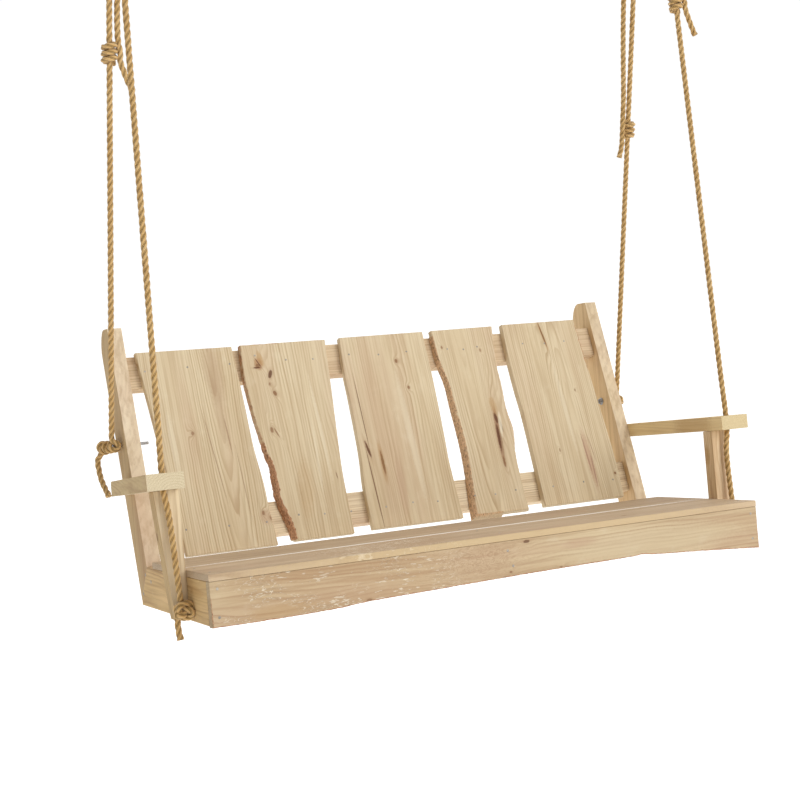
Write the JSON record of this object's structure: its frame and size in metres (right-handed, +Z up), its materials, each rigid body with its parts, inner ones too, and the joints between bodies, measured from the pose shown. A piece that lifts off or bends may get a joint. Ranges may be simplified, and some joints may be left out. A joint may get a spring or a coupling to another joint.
{
  "type": "porch swing",
  "caption": "Rustic live-edge timber porch swing bench with slatted back and flat arms, hung on knotted ropes from ceiling hangers.",
  "frame": {"origin": "midway between the two ceiling plates, on their mounting face; the bench hangs about 2 m below it, leaning back 6.5 degrees, as it does when its weight is under the pins", "axes": "+X along the bench toward the end that is on the sitter's left, +Y toward the back rest, +Z up"},
  "size_m": [1.7008, 0.8142, 2.1368],
  "materials": {
    "board_wood": "bare sawn and planed hardwood boards with live edges, pale tan with darker grain and knots",
    "frame_wood": "bare planed framing timber, pale tan",
    "apron_wood": "bare live-edge front board with pale insect galleries",
    "rope": "three-strand laid natural fibre rope, golden tan",
    "galvanised_steel": "dull zinc-plated steel hardware"
  },
  "bodies": {
    "ceiling_hangers": {"ceiling_hanger_left": "galvanised_steel", "ceiling_hanger_right": "galvanised_steel", "ceiling_plate_left": "galvanised_steel", "ceiling_plate_right": "galvanised_steel"},
    "swing": {"arm_post_left": "frame_wood", "arm_post_right": "frame_wood", "armrest_left": "frame_wood", "armrest_right": "frame_wood", "back_board_1": "board_wood", "back_board_2": "board_wood", "back_board_3": "board_wood", "back_board_4": "board_wood", "back_board_5": "board_wood", "back_post_left": "frame_wood", "back_post_right": "frame_wood", "bight_front_left": "rope", "bight_front_right": "rope", "bight_rear_left": "rope", "bight_rear_right": "rope", "centre_support": "frame_wood", "eye_bolt_front_left": "galvanised_steel", "eye_bolt_front_right": "galvanised_steel", "eye_bolt_rear_left": "galvanised_steel", "eye_bolt_rear_right": "galvanised_steel", "front_apron": "apron_wood", "hitch_front_left": "rope", "hitch_front_right": "rope", "hitch_rear_left": "rope", "hitch_rear_right": "rope", "hitch_tail_front_left": "rope", "hitch_tail_front_right": "rope", "hitch_tail_rear_left": "rope", "hitch_tail_rear_right": "rope", "knot_front_left": "rope", "knot_front_right": "rope", "knot_rear_left": "rope", "knot_rear_right": "rope", "knot_tail_front_left": "rope", "knot_tail_front_right": "rope", "knot_tail_rear_left": "rope", "knot_tail_rear_right": "rope", "lower_back_rail": "frame_wood", "nut_and_washer_front_left": "galvanised_steel", "nut_and_washer_front_right": "galvanised_steel", "nut_and_washer_rear_left": "galvanised_steel", "nut_and_washer_rear_right": "galvanised_steel", "rear_stretcher": "frame_wood", "rope_front_left": "rope", "rope_front_right": "rope", "rope_rear_left": "rope", "rope_rear_right": "rope", "seat_board_front": "board_wood", "seat_board_rear": "board_wood", "side_rail_left": "frame_wood", "side_rail_right": "frame_wood", "upper_back_rail": "frame_wood"}
  },
  "joints": [
    {"name": "swing_on_pins", "type": "hinge", "parent": "ceiling_hangers", "child": "swing", "pos_m": [0, 0, -0.056], "axis": [1, 0, 0], "range_deg": [-30, 30]}
  ]
}
